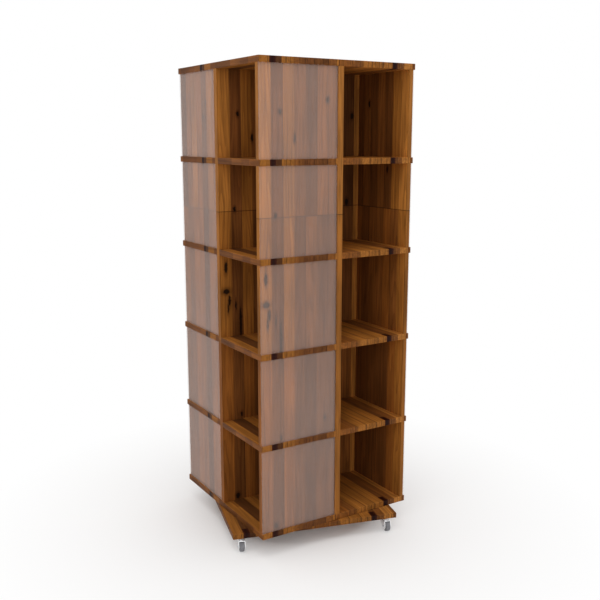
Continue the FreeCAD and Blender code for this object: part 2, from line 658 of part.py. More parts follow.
def make_fork(corner, x_sign, y_sign):
    """Pressed fork: bent crown, two tapered legs and the lower race."""
    body = caster_body("caster_fork_" + corner, x_sign, y_sign)
    side = new_sketch(body, "YZ_Plane")
    fork_side(side)
    top = number(CROWN_TOP)
    half = number(S + "fork_wide / 2")
    dress(pad(side, S + "fork_wide", both_ways=True), "Fillet", S + "fork_bend",
          lambda box: abs(box.ZMin - top) < NEAR and abs(box.ZMax - top) < NEAR
          and abs(abs(box.XMax) - half) < NEAR and box.XLength < NEAR)
    inside = "%sfork_wide / 2 - %sfork_sheet" % (S, S)
    hollow = new_sketch(body, "XZ_Plane")
    rectangle(hollow, "-(%s)" % inside, inside, "0", CROWN_UNDER)
    pocket(hollow, "4 * (%scaster_trail + %sfork_tip)" % (S, S), both_ways=True)
    race = new_sketch(body, "XZ_Plane")
    rectangle(race, S + "race_bore / 2", S + "race_wide / 2",
              "%s + %sfork_sheet / 2" % (CROWN_UNDER, S),
              "%s - %sswivel_gap" % (RACE_UNDER, S))
    spin(race)
    bore = new_sketch(body, "XY_Plane", off=CROWN_UNDER)
    circle(bore, "0", "0", "%skingpin_wide / 2 + %spin_fit" % (S, S))
    pocket(bore, S + "fork_sheet", up=True)
    axle_holes = new_sketch(body, "YZ_Plane")
    circle(axle_holes, "-%scaster_trail" % S, WHEEL_R, S + "axle_wide / 2")
    pocket(axle_holes, "2 * %sfork_wide" % S, both_ways=True)


def axle_sketch(body):
    """A sketch through the wheel axle, its H axis on the axle."""
    return new_sketch(body, "XZ_Plane", across=WHEEL_R, off=S + "caster_trail")


def make_wheel(corner, x_sign, y_sign):
    """One-piece grey rubber wheel: tyre, thin web and hub."""
    body = caster_body("caster_wheel_" + corner, x_sign, y_sign)
    sketch = axle_sketch(body)
    hub = "(%sfork_wide / 2 - %sfork_sheet - %shub_side_gap)" % (S, S, S)
    bore = "%saxle_wide / 2 + %spin_fit" % (S, S)
    web = S + "web_wide / 2"
    tread = S + "tread_wide / 2"
    rim = "%s - %styre_deep" % (WHEEL_R, S)
    shoulder = "%s - %stread_bevel" % (tread, S)
    side = "%s - %stread_bevel" % (WHEEL_R, S)
    right = ((hub, bore), (hub, S + "hub_wide / 2"), (web, S + "hub_wide / 2"), (web, rim),
             (tread, rim), (tread, side), (shoulder, WHEEL_R))
    left = tuple(("-(%s)" % x, y) for x, y in reversed(right))
    polygon(sketch, right + left)
    spin(sketch, axis="H_Axis")


def make_axle(corner, x_sign, y_sign):
    """Riveted axle with a domed head outside each leg."""
    body = caster_body("caster_axle_" + corner, x_sign, y_sign)
    sketch = axle_sketch(body)
    leg = S + "fork_wide / 2"
    end = "(%s + %saxle_head_high)" % (leg, S)
    shank = S + "axle_wide / 2"
    head = S + "axle_head / 2"
    dome = "%s - %saxle_head_edge" % (head, S)
    right = ((leg, shank), (leg, head), (end, dome), (end, "0"))
    left = tuple(("-" + x, y) for x, y in reversed(right))
    polygon(sketch, right + left)
    spin(sketch, axis="H_Axis")


# ---------------------------------------------------------------- build

make_base()
make_bearing()
make_balls()
make_caster_screws()
for corner, x_sign, y_sign in CORNERS:
    make_plate(corner, x_sign, y_sign)
    make_fork(corner, x_sign, y_sign)
    make_wheel(corner, x_sign, y_sign)
    make_axle(corner, x_sign, y_sign)
make_bottom()
make_shelves()
make_top()
make_post()
make_dividers()
make_walls()
make_panes()
make_dowels()
doc.recompute()

for item in doc.Objects:
    if "Invalid" in item.State or "Error" in item.State:
        raise RuntimeError("%s did not build: %s" % (item.Label, item.State))
for body in parts:
    if body.Shape.isNull() or not body.Shape.isValid() or not body.Shape.Solids:
        raise RuntimeError("%s has no valid solid" % body.Label)

os.makedirs("parts", exist_ok=True)
for body in parts:
    body.Shape.exportStep("parts/%s.step" % body.Label)
    box = body.Shape.BoundBox
    print("%-26s solids %2d  volume %10.0f mm3  z %.1f to %.1f"
          % (body.Label, len(body.Shape.Solids), body.Shape.Volume, box.ZMin, box.ZMax))
print("%d nodes" % len(parts))
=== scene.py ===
"""Finish and studio for a rotating media tower of edge-glued staves.

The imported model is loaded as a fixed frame.  The operators below give each group
of its parts a procedural finish and set a plain pale studio round it.
"""
import math

import bpy
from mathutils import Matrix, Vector


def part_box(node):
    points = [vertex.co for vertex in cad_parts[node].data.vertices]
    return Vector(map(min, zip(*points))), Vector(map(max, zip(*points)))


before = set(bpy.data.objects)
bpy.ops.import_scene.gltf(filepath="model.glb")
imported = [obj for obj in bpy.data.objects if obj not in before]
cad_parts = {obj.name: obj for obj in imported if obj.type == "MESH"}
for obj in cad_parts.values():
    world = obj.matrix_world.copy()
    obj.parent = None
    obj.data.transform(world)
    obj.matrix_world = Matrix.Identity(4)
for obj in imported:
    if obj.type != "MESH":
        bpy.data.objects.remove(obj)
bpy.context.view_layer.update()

bl_info = {
    "name": "Rotating Media Tower Finish",
    "version": (1, 0, 0),
    "blender": (4, 5, 0),
    "location": "View3D > Sidebar > Tower",
    "description": "Stave wood, milky panes, castered base and a pale studio for a media tower",
    "category": "Object",
}

FACES = ("front", "right", "back", "left")
CORNERS = ("front_left", "front_right", "back_right", "back_left")
TIERS = (1, 2, 3, 4, 5)
MM = 0.001

# Underside of the tower, from which the heights of joints and knots are measured
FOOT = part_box("bottom_panel")[0][2]
# How far the base board is turned under the tower
BASE_TURN = math.radians(15)


def linear(hex_colour):
    """Scene-linear RGB of an sRGB colour written as hex."""
    parts = [int(hex_colour[i:i + 2], 16) / 255 for i in (1, 3, 5)]
    return tuple(c / 12.92 if c <= 0.04045 else ((c + 0.055) / 1.055) ** 2.4 for c in parts)


def tone_property(name, description, hex_colour):
    """A colour that the user can change, with its default written as hex."""
    return bpy.props.FloatVectorProperty(
        name=name, description=description, default=linear(hex_colour),
        size=3, min=0, max=1, subtype="COLOR")


# Lay-up of the boards, as (first edge of the stave in mm from the axis, tone).  The
# upright boards that run from left to right share one lay-up, WIDE, and those that run
# from front to back another, DEEP.  Their staves are joined end to end: one run above the
# butt joint, another below it, and a third one below the second shelf.
WIDE_ABOVE = ((-330, "straw"), (-280, "russet"), (-233.5, "honey"), (-187, "chestnut"),
              (-140, "umber"), (-94, "amber"), (-47, "chestnut"), (-0.5, "chestnut"),
              (46, "umber"), (93, "chestnut"), (139, "walnut"), (186, "umber"),
              (232.5, "walnut"), (279, "straw"))
WIDE_BELOW = ((-330, "honey"), (-280, "umber"), (-233.5, "honey"), (-187, "umber"),
              (-140, "chestnut"), (-94, "umber"), (-47, "umber"), (-0.5, "umber"),
              (46, "chestnut"), (93, "walnut"), (139, "umber"), (186, "walnut"),
              (232.5, "umber"), (279, "straw"))
WIDE_LOWEST = ((-330, "amber"), (-280, "umber"), (-233.5, "amber"), (-187, "umber"),
               (-140, "walnut"), (-94, "umber"), (-47, "umber"), (-0.5, "chestnut"),
               (46, "umber"), (93, "umber"), (139, "walnut"), (186, "umber"),
               (232.5, "chestnut"), (279, "straw"))
# The first stave of the DEEP runs, at -330 by the front mouth of the compartments, is given a
# paler tone, partly a painted light on the inside near the mouth
DEEP_ABOVE = ((-330, "straw"), (-280, "honey"), (-233.5, "umber"), (-187, "chestnut"),
              (-140, "umber"), (-94, "chestnut"), (-47, "umber"), (-0.5, "amber"),
              (46, "honey"), (93, "umber"), (139, "amber"), (186, "honey"),
              (232.5, "chestnut"), (279, "walnut"))
DEEP_BELOW = ((-330, "honey"), (-280, "chestnut"), (-233.5, "amber"), (-187, "chestnut"),
              (-140, "chestnut"), (-94, "umber"), (-47, "chestnut"), (-0.5, "amber"),
              (46, "amber"), (93, "walnut"), (139, "amber"), (186, "amber"),
              (232.5, "umber"), (279, "chestnut"))
DEEP_LOWEST = ((-330, "honey"), (-280, "amber"), (-233.5, "umber"), (-187, "umber"),
               (-140, "umber"), (-94, "umber"), (-47, "umber"), (-0.5, "amber"),
               (46, "amber"), (93, "walnut"), (139, "chestnut"), (186, "amber"),
               (232.5, "umber"), (279, "umber"))
# Level boards: one run from left to right, and the short lengths along their outer sides,
# from front to back
LEVEL_RUN = ((-330, "honey"), (-289, "walnut"), (-243, "honey"), (-195.6, "chestnut"),
             (-156, "russet"), (-113, "walnut"), (-109, "umber"), (-54, "chestnut"),
             (-22, "honey"), (-12, "walnut"), (-8, "amber"), (52, "chestnut"),
             (89, "honey"), (129, "walnut"), (133, "honey"), (178, "walnut"),
             (182, "honey"), (226, "umber"), (248, "chestnut"), (276, "straw"), (312, "chestnut"))
LEVEL_SIDE = ((-330, "amber"), (-258, "russet"), (-200, "chestnut"), (-124, "umber"),
              (-12, "walnut"), (-8, "russet"), (36, "honey"), (86, "walnut"),
              (107, "black"), (125, "chestnut"), (174, "russet"), (222, "umber"),
              (302, "chestnut"))
# Dark heart that shows at the ends of two level staves: middle and half width in mm, how
# far it runs in, and the shares of its half width where its black core ends and is full
LEVEL_HEARTS = ((-277.0, 12.0), (235.0, 11.5))
HEART_REACH = 38 * MM
HEART_RIM, HEART_CORE = 0.9, 0.2

# Knots and checks of the upright staves, in mm: across, height over the tower's foot,
# half width, half height
WIDE_KNOTS = (
    (-304, 972, 6, 20), (-303, 880, 13, 10), (-291, 843, 5, 20), (-297, 812, 3, 18),
    (-264, 821, 3, 18), (-244, 752, 5, 60), (-245, 1543, 5, 9), (-186, 1456, 4, 14),
    (-264, 1192, 5, 9), (-245, 380, 4, 10), (-268, 40, 8, 11), (-51, 1586, 6, 9),
    (-55, 425, 5, 9), (271, 1542, 6, 11), (249, 1199, 7, 13))
DEEP_KNOTS = (
    (-82, 1588, 5, 11), (-205, 1336, 4, 12), (126, 1534, 5, 9), (104, 1585, 4, 8),
    (134, 1354, 5, 10))


# ------------------------------------------------------------------ sizes and colours

class TowerWood(bpy.types.PropertyGroup):
    """Sizes and tones of the stave wood, and the painted shade of its edges and of the base board.
    """
    straw: tone_property("Straw", "Palest stave", "#c27e38")
    honey: tone_property("Honey", "Light golden stave", "#b2712f")
    amber: tone_property("Amber", "Middle golden stave", "#a16128")
    chestnut: tone_property("Chestnut", "Middle brown stave", "#945a28")
    russet: tone_property("Russet", "Reddish brown stave", "#865026")
    umber: tone_property("Umber", "Dark brown stave", "#7b4a22")
    walnut: tone_property("Walnut", "Darkest brown stave and dark glue line", "#653c1c")
    heart: tone_property("Heart", "Reddish heartwood beside the black", "#47190a")
    black: tone_property("Black heart", "Black heartwood", "#280b04")
    knot: tone_property("Knot", "Knots, checks and glue lines", "#150b06")
    board_span: bpy.props.FloatProperty(
        name="Board span", description="Width over which the staves of a board are laid",
        default=660 * MM, unit="LENGTH", subtype="DISTANCE")
    upright_stave: bpy.props.FloatProperty(
        name="Upright stave", description="Width of a stave in the dividers and walls",
        default=46.6 * MM, unit="LENGTH", subtype="DISTANCE")
    upright_first: bpy.props.FloatProperty(
        name="Upright joint", description="A glue joint of the upright staves, from the axis",
        default=-0.5 * MM, unit="LENGTH", subtype="DISTANCE")
    level_stave: bpy.props.FloatProperty(
        name="Level stave", description="Width of a stave in the shelves, top, bottom and base",
        default=47.2 * MM, unit="LENGTH", subtype="DISTANCE")
    level_first: bpy.props.FloatProperty(
        name="Level joint", description="A glue joint of the level staves, from the axis",
        default=-6.8 * MM, unit="LENGTH", subtype="DISTANCE")
    butt_height: bpy.props.FloatProperty(
        name="Butt joint", description="Height over the foot where upright staves meet end to end",
        default=1184.5 * MM, unit="LENGTH", subtype="DISTANCE")
    second_joint: bpy.props.FloatProperty(
        name="Second joint", description="Height over the foot of the joint a shelf hides",
        default=692 * MM, unit="LENGTH", subtype="DISTANCE")
    glue_line: bpy.props.FloatProperty(
        name="Glue line", description="Width of the dark line between two staves",
        default=1.4 * MM, unit="LENGTH", subtype="DISTANCE")
    # painted shade: the edges of the boards are painted darker than their faces
    edge_painted_shade: bpy.props.FloatProperty(
        name="Edge tone", description="Tone of the upright boards' edges against their faces",
        default=0.70, min=0, max=1, subtype="FACTOR")
    level_edge_painted_shade: bpy.props.FloatProperty(
        name="Level edge tone", description="The same for the shelves, top, bottom and base",
        default=0.78, min=0, max=1, subtype="FACTOR")
    # painted shade: the base board is painted darker all over for the shade under the tower
    base_painted_shade: bpy.props.FloatProperty(
        name="Base tone", description="Tone of the base board against the other boards",
        default=0.85, min=0, max=1, subtype="FACTOR")
    figure: bpy.props.FloatProperty(
        name="Figure", description="Strength of the growth streaks",
        default=0.8, min=0, max=1, subtype="FACTOR")
    sheen: bpy.props.FloatProperty(
        name="Oil roughness", description="Roughness of the oiled surface",
        default=0.55, min=0, max=1, subtype="FACTOR")


class TowerPanes(bpy.types.PropertyGroup):
    """Finish of the milky panes."""
    tint: tone_property("Veil", "Milky tint of the acrylic", "#d8c3ba")
    # The veil is partly the acrylic's milky tint and partly a painted reflection of the pale room,
    # which grows at a slant
    veil: bpy.props.FloatProperty(
        name="Veil strength", description="How much one face of a pane hides, seen square on",
        default=0.12, min=0, max=1, subtype="FACTOR")
    slant_veil_and_painted_reflection: bpy.props.FloatProperty(
        name="Veil at a slant", description="How much one face of a pane hides, seen edge on",
        default=0.265, min=0, max=1, subtype="FACTOR")
    polish: bpy.props.FloatProperty(
        name="Roughness", description="Roughness of the acrylic",
        default=0.15, min=0, max=1, subtype="FACTOR")


class TowerCasters(bpy.types.PropertyGroup):
    """Finish of the casters, screws and bearing."""
    plating: tone_property("Plating", "Bright plating of plates and forks", "#f6f6f7")
    steel: tone_property("Zinc", "Zinc plated screws and rivets", "#c2c4c8")
    rubber: tone_property("Tyre", "Grey rubber wheels", "#77777b")
    aluminium: tone_property("Ring", "Turned bearing rings", "#c9cbce")
    cage: tone_property("Cage", "Moulded ball cage", "#2b2b2e")


class TowerStage(bpy.types.PropertyGroup):
    """Camera, lamps and floor."""
    eye: bpy.props.FloatVectorProperty(
        name="Camera place", description="Where the camera stands",
        default=(-1.6823, -2.7951, 1.5331), size=3, unit="LENGTH", subtype="TRANSLATION")
    tilt: bpy.props.FloatProperty(
        name="Camera tilt", description="Angle of the camera up from straight down",
        default=math.radians(78.87), unit="ROTATION", subtype="ANGLE")
    heading: bpy.props.FloatProperty(
        name="Camera heading", description="Turn of the camera about the vertical",
        default=math.radians(-31.53), unit="ROTATION", subtype="ANGLE")
    lens: bpy.props.FloatProperty(
        name="Lens", description="Focal length in millimetres",
        default=49.45, min=1, unit="CAMERA")
    floor_colour: tone_property("Floor", "Colour of the floor", "#f7f4f2")
    floor_reach: bpy.props.FloatProperty(
        name="Floor reach", description="Radius of the floor",
        default=14.0, unit="LENGTH", subtype="DISTANCE")
    room_light: bpy.props.FloatProperty(
        name="Room light", description="Strength of the even light all round",
        default=0.80, min=0)
    key_power: bpy.props.FloatProperty(
        name="Key lamp", description="Power of the large lamp at the front left, in watts",
        default=18.0, min=0, unit="POWER")
    top_power: bpy.props.FloatProperty(
        name="Top lamp", description="Power of the large lamp overhead, in watts",
        default=30.0, min=0, unit="POWER")


# ------------------------------------------------------------------ material helpers

# Sockets of a Mix node of colours, by number because their names repeat
SHARE, UNDER, OVER, MIXED = 0, 6, 7, 2


def add(tree, kind, inputs=(), out=0, **settings):
    """Add a shader node, apply its settings, fill its inputs by values or links."""
    node = tree.nodes.new("ShaderNode" + kind)
    for name, value in settings.items():
        setattr(node, name, value)
    for name, value in inputs.items() if isinstance(inputs, dict) else enumerate(inputs):
        if isinstance(value, bpy.types.NodeSocket):
            tree.links.new(value, node.inputs[name])
        else:
            node.inputs[name].default_value = value
    return node.outputs[out] if node.outputs else node


def rgba(colour):
    """A colour as a shader socket takes it."""
    return tuple(colour) + (1.0,)


def new_tree(name):
    """A new material and its emptied node tree."""
    material = bpy.data.materials.new(name)
    material.use_nodes = True
    material.node_tree.nodes.clear()
    return material, material.node_tree


def finish_nodes(material, names):
    """Give a material to CAD nodes through their material slots."""
    for name in names:
        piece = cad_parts[name]
        if not piece.material_slots:
            piece.data.materials.append(material)
        for slot in piece.material_slots:
            slot.material = material


# ------------------------------------------------------------------ stave wood

# Spread of the number that sets the grain of one stave apart from the next one's
GRAIN_SPREAD = 40.0
# Width of the strip within which a growth streak wanders
STREAK_SWAY = 26 * MM
# Steps of the slow noise that the growth rings follow
RING_STEPS = 14.0
# How far the outline of a knot wanders, and how far from its middle nothing of it is
# left, in half widths of the knot
KNOT_WANDER = 9 * MM
CLEAR_OF_KNOTS = 9.0
# Darkness of the butt joint, and the height of a glue line against that of the fibre
BUTT_DARKNESS = 0.7
GLUE_HEIGHT = -2.0


def lay_up(tree, place, run):
    """Tone of the stave at a place across a board, from a run of staves."""
    wood = bpy.context.scene.tower_wood
    share = add(tree, "MapRange", {
        "Value": place, "From Min": -wood.board_span / 2, "From Max": wood.board_span / 2})
    colour = add(tree, "ValToRGB", {"Fac": share})
    ramp = colour.node.color_ramp
    ramp.interpolation = "CONSTANT"
    while len(ramp.elements) < len(run):
        ramp.elements.new(1.0)
    for element, (edge, tone) in zip(ramp.elements, run):
        element.position = max(0.0, edge * MM / wood.board_span + 0.5)
        element.color = rgba(getattr(wood, tone))
    return colour


def upright_tones(above, below, lowest):
    """Tones of upright staves: one run above the butt joint and two below."""
    def tones(tree, place, length, _normal):
        wood = bpy.context.scene.tower_wood
        colour = lay_up(tree, place, lowest)
        for joint, run in ((wood.second_joint, below), (wood.butt_height, above)):
            high = add(tree, "Math", (length, joint), operation="GREATER_THAN")
            colour = add(tree, "Mix", {
                SHARE: high, UNDER: colour, OVER: lay_up(tree, place, run)},
                out=MIXED, data_type="RGBA")
        return colour
    return tones


def level_tones(tree, place, length, normal):
    """Tones of level staves, with black heart at two ends and short lengths at the sides."""
    wood = bpy.context.scene.tower_wood
    flat = lay_up(tree, place, LEVEL_RUN)
    out = add(tree, "Math", (length,), operation="ABSOLUTE")
    end = add(tree, "Math", (out, wood.board_span / 2 - HEART_REACH), operation="GREATER_THAN")
    for middle, half in LEVEL_HEARTS:
        off = add(tree, "Math", (place, middle * MM), operation="SUBTRACT")
        off = add(tree, "Math", (off,), operation="ABSOLUTE")
        core = add(tree, "MapRange", {
            "Value": off, "From Min": half * HEART_RIM * MM, "From Max": half * HEART_CORE * MM})
        heart = add(tree, "Mix", {
            SHARE: core, UNDER: rgba(wood.heart), OVER: rgba(wood.black)},
            out=MIXED, data_type="RGBA")
        share = add(tree, "Math", (off, half * MM), operation="LESS_THAN")
        share = add(tree, "Math", (share, end), operation="MULTIPLY")
        flat = add(tree, "Mix", {SHARE: share, UNDER: flat, OVER: heart},
                   out=MIXED, data_type="RGBA")
    sideways = add(tree, "Math", (normal["X"], 0.5), operation="GREATER_THAN")
    return add(tree, "Mix", {
        SHARE: sideways, UNDER: flat, OVER: lay_up(tree, length, LEVEL_SIDE)},
        out=MIXED, data_type="RGBA")


def drawn_out(tree, across, along, third, wide, long):
    """A point for noise with marks so many mm wide and long, drawn out along the grain."""
    return add(tree, "CombineXYZ", {
        0: add(tree, "Math", (across, wide * MM), operation="DIVIDE"),
        1: add(tree, "Math", (along, long * MM), operation="DIVIDE"),
        2: third})


def knotted(tree, colour, point, place, length, marks):
    """A wood colour with near-black knots and checks in it, each in a brown ring."""
    wood = bpy.context.scene.tower_wood
    ragged = add(tree, "TexNoise", {"Vector": point, "Scale": 1 / (11 * MM), "Detail": 2.0})
    ragged = add(tree, "Math", (ragged, 0.5), operation="SUBTRACT")
    spot = add(tree, "CombineXYZ", {
        0: add(tree, "Math", (ragged, KNOT_WANDER, place), operation="MULTIPLY_ADD"),
        1: add(tree, "Math", (ragged, KNOT_WANDER, length), operation="MULTIPLY_ADD")})
    nearest = CLEAR_OF_KNOTS
    for x, z, half_wide, half_high in marks:
        reach = add(tree, "Mapping", {
            "Vector": spot, "Location": (-x / half_wide, -z / half_high, 0),
            "Scale": (1 / (half_wide * MM), 1 / (half_high * MM), 1.0)})
        reach = add(tree, "VectorMath", (reach,), out="Value", operation="LENGTH")
        nearest = add(tree, "Math", (nearest, reach), operation="MINIMUM")
    ring = add(tree, "MapRange", {
        "Value": nearest, "From Min": 2.6, "From Max": 1.0, "To Max": 0.45},
        interpolation_type="SMOOTHSTEP")
    core = add(tree, "MapRange", {
        "Value": nearest, "From Min": 1.2, "From Max": 0.85, "To Max": 0.92},
        interpolation_type="SMOOTHSTEP")
    colour = add(tree, "Mix", {SHARE: ring, UNDER: colour, OVER: rgba(wood.black)},
                 out=MIXED, data_type="RGBA")
    return add(tree, "Mix", {SHARE: core, UNDER: colour, OVER: rgba(wood.knot)},
               out=MIXED, data_type="RGBA")


def stave_wood(name, across, along, stave, first, tones, edge, tone=1.0, turn=0.0, marks=()):
    """Oiled hardwood of edge-glued staves laid across one axis and running along another."""
    wood = bpy.context.scene.tower_wood
    black = rgba(wood.black)
    material, tree = new_tree(name)

    # where a point lies on the staves, turned back for the base board, and which way it faces
    point = add(tree, "Mapping", {
        "Vector": add(tree, "TexCoord", out="Object"),
        "Rotation": (0, 0, turn), "Location": (0, 0, -FOOT)})
    axes = add(tree, "SeparateXYZ", {"Vector": point}).node.outputs
    place, length = axes[across], axes[along]
    depth = axes[({"X", "Y", "Z"} - {across, along}).pop()]
    normal = add(tree, "Mapping", {
        "Vector": add(tree, "TexCoord", out="Normal"), "Rotation": (0, 0, turn)},
        vector_type="VECTOR")
    normal = add(tree, "VectorMath", (normal,), operation="ABSOLUTE")
    normal = add(tree, "SeparateXYZ", {"Vector": normal}).node.outputs
    colour = tones(tree, place, length, normal)

    # one number for each stave keeps its grain apart from its neighbours'
    steps = add(tree, "Math", (place, first), operation="SUBTRACT")
    steps = add(tree, "Math", (steps, stave), operation="DIVIDE")
    index = add(tree, "Math", (steps,), operation="FLOOR")
    within = add(tree, "Math", (steps,), operation="FRACT")
    chance = add(tree, "TexWhiteNoise", {"W": index}, noise_dimensions="1D")
    apart = add(tree, "Math", (chance, GRAIN_SPREAD), operation="MULTIPLY")

    # growth streaks about 9 mm apart that run the length of a stave and wander a little
    waver = drawn_out(tree, place, length, apart, wide=70, long=280)
    waver = add(tree, "TexNoise", {"Vector": waver, "Scale": 1.0, "Detail": 2.0})
    waver = add(tree, "Math", (waver, 0.5), operation="SUBTRACT")
    bent = add(tree, "Math", (waver, STREAK_SWAY, place), operation="MULTIPLY_ADD")
    inward = add(tree, "Math", (depth, 1 / (18 * MM), apart), operation="MULTIPLY_ADD")
    streak = drawn_out(tree, bent, length, inward, wide=9, long=330)
    streak = add(tree, "TexNoise", {
        "Vector": streak, "Scale": 1.0, "Detail": 3.0, "Roughness": 0.55})
    dark = add(tree, "MapRange", {
        "Value": streak, "From Min": 0.60, "From Max": 0.34, "To Max": 0.38 * wood.figure},
        interpolation_type="SMOOTHSTEP")
    colour = add(tree, "Mix", {SHARE: dark, UNDER: colour, OVER: black},
                 out=MIXED, data_type="RGBA")

    # growth rings cut flat on the faces: the steps of a slow noise set them about 9 mm
    # apart, and each fades in and ends sharply
    inward = add(tree, "Math", (depth, 1 / (45 * MM), apart), operation="MULTIPLY_ADD")
    growth = drawn_out(tree, bent, length, inward, wide=70, long=1400)
    growth = add(tree, "TexNoise", {"Vector": growth, "Scale": 1.0, "Detail": 1.0})
    growth = add(tree, "Math", (growth, RING_STEPS), operation="MULTIPLY")
    growth = add(tree, "Math", (growth,), operation="FRACT")
    late = add(tree, "MapRange", {
        "Value": growth, "From Min": 0.45, "From Max": 1.0, "To Max": 0.32 * wood.figure},
        interpolation_type="SMOOTHSTEP")
    colour = add(tree, "Mix", {SHARE: late, UNDER: colour, OVER: black},
                 out=MIXED, data_type="RGBA")

    # broad lighter and darker lengths within a stave, 60 mm wide and 210 mm long
    patch = add(tree, "CombineXYZ", {
        0: apart,
        1: add(tree, "Math", (length, 210 * MM), operation="DIVIDE"),
        2: add(tree, "Math", (place, 60 * MM), operation="DIVIDE")})
    patch = add(tree, "TexNoise", {"Vector": patch, "Scale": 1.0, "Detail": 1.0})
    lift = add(tree, "MapRange", {
        "Value": patch, "From Min": 0.25, "From Max": 0.75, "To Min": 0.76, "To Max": 1.24})

    # fibre, really about 0.3 mm wide and too fine to show, drawn 1.6 mm wide and 60 mm long
    inward = add(tree, "Math", (depth, 1.6 * MM), operation="DIVIDE")
    fibre = drawn_out(tree, bent, length, inward, wide=1.6, long=60)
    fibre = add(tree, "TexNoise", {
        "Vector": fibre, "Scale": 1.0, "Detail": 2.0, "Roughness": 0.6})
    fine = add(tree, "MapRange", {
        "Value": fibre, "From Min": 0.3, "From Max": 0.7, "To Min": 0.88, "To Max": 1.10})
    shade = add(tree, "Math", (lift, fine), operation="MULTIPLY")

    # the edges of the boards are painted darker than their faces, a painted shade, and tone paints
    # the whole board darker, a painted shade that the base board takes for the shade under the
    # tower
    painted_edge_shade = add(tree, "MapRange", {
        "Value": normal[depth.name], "From Min": 0.4, "From Max": 0.6,
        "To Min": edge * tone, "To Max": tone})
    shade = add(tree, "Math", (shade, painted_edge_shade), operation="MULTIPLY")

    # end grain: dark bands about 6 mm apart with crisp sides
    cut = add(tree, "Math", (place, 6 * MM), operation="DIVIDE")
    cut = add(tree, "TexNoise", {"W": cut, "Scale": 1.0, "Detail": 1.0}, noise_dimensions="1D")
    cut = add(tree, "MapRange", {
        "Value": cut, "From Min": 0.55, "From Max": 0.66, "To Min": 1.0, "To Max": 0.5})
    end = add(tree, "Math", (normal[along], 0.5), operation="GREATER_THAN")
    cut = add(tree, "MapRange", {"Value": end, "To Min": 1.0, "To Max": cut})
    shade = add(tree, "Math", (shade, cut), operation="MULTIPLY")
    shade = add(tree, "CombineColor", (shade, shade, shade))
    colour = add(tree, "Mix", {SHARE: 1.0, UNDER: colour, OVER: shade},
                 out=MIXED, data_type="RGBA", blend_type="MULTIPLY")
    if marks:
        colour = knotted(tree, colour, point, place, length, marks)

    # dark glue lines with soft sides between staves, and the uprights' butt joint
    seam = add(tree, "Math", (within, 0.5), operation="SUBTRACT")
    seam = add(tree, "Math", (seam,), operation="ABSOLUTE")
    half_line = wood.glue_line / 2 / stave
    groove = add(tree, "MapRange", {
        "Value": seam, "From Min": 0.5 - half_line * 1.6, "From Max": 0.5 - half_line * 0.6,
        "To Max": 0.5})
    if along == "Z":
        butt = add(tree, "Math", (length, wood.butt_height, wood.glue_line),
                   operation="COMPARE")
        butt = add(tree, "Math", (butt, BUTT_DARKNESS), operation="MULTIPLY")
        groove = add(tree, "Math", (groove, butt), operation="MAXIMUM")
    colour = add(tree, "Mix", {SHARE: groove, UNDER: colour, OVER: rgba(wood.knot)},
                 out=MIXED, data_type="RGBA")

    # the oil has soaked in: a dull surface that shines little and follows the fibre
    height = add(tree, "Math", (groove, GLUE_HEIGHT, fibre), operation="MULTIPLY_ADD")
    bump = add(tree, "Bump", {"Height": height, "Strength": 0.25, "Distance": 0.35 * MM})
    gloss = add(tree, "MapRange", {
        "Value": fibre, "To Min": wood.sheen - 0.06, "To Max": wood.sheen + 0.08})
    shader = add(tree, "BsdfPrincipled", {
        "Base Color": colour, "Roughness": gloss, "Normal": bump, "Specular IOR Level": 0.10})
    add(tree, "OutputMaterial", {"Surface": shader})
    return material


# ------------------------------------------------------------------ finishes

# How much the veil of the panes varies over a hand's breadth
VEIL_CLOUD = 0.04
# Working marks of a metal: their tone, and the least and most roughness, as shares of
# the metal's own
MARK_TONE = 0.93
MARK_GLOSS = (0.8, 1.3)
# Tone of dusty rubber against clean rubber
DUST_TONE = 1.25


class TOWER_OT_finish_uprights(bpy.types.Operator):
    """Give the dividers, wall boards and post their upright stave wood"""
    bl_idname = "tower.finish_uprights"
    bl_label = "Finish uprights"

    def execute(self, context):
        wood = context.scene.tower_wood
        # oiled acacia, sawn and planed: strong tone steps from stave to stave, dark knots
        wide = stave_wood(
            "oiled_acacia_upright_wide", across="X", along="Z", stave=wood.upright_stave,
            first=wood.upright_first, edge=wood.edge_painted_shade, marks=WIDE_KNOTS,
            tones=upright_tones(WIDE_ABOVE, WIDE_BELOW, WIDE_LOWEST))
        deep = stave_wood(
            "oiled_acacia_upright_deep", across="Y", along="Z", stave=wood.upright_stave,
            first=wood.upright_first, edge=wood.edge_painted_shade, marks=DEEP_KNOTS,
            tones=upright_tones(DEEP_ABOVE, DEEP_BELOW, DEEP_LOWEST))
        for face in FACES:
            walls = ["wall_%s_%d" % (face, tier) for tier in TIERS]
            finish_nodes(wide if face in ("front", "back") else deep, walls)
            finish_nodes(deep if face in ("front", "back") else wide, ["divider_" + face])
        finish_nodes(wide, ["centre_post"])
        return {"FINISHED"}


class TOWER_OT_finish_levels(bpy.types.Operator):
    """Give the top, bottom, shelves and base board their level stave wood"""
    bl_idname = "tower.finish_levels"
    bl_label = "Finish level boards"

    def execute(self, context):
        wood = context.scene.tower_wood
        # oiled acacia laid flat: the same kind of staves, two of them with black heart
        level = stave_wood(
            "oiled_acacia_level", across="X", along="Y", stave=wood.level_stave,
            first=wood.level_first, edge=wood.level_edge_painted_shade, tones=level_tones)
        finish_nodes(level, ["bottom_panel", "top_panel"])
        finish_nodes(level, ["shelf_%d" % tier for tier in TIERS[:-1]])
        # the base board: the same wood turned under the tower, and painted darker all over, a
        # painted shade for the shade under it
        base = stave_wood(
            "oiled_acacia_base", across="X", along="Y", stave=wood.level_stave,
            first=wood.level_first, edge=wood.level_edge_painted_shade, tones=level_tones,
            tone=wood.base_painted_shade, turn=BASE_TURN)
        finish_nodes(base, ["base_panel"])
        return {"FINISHED"}


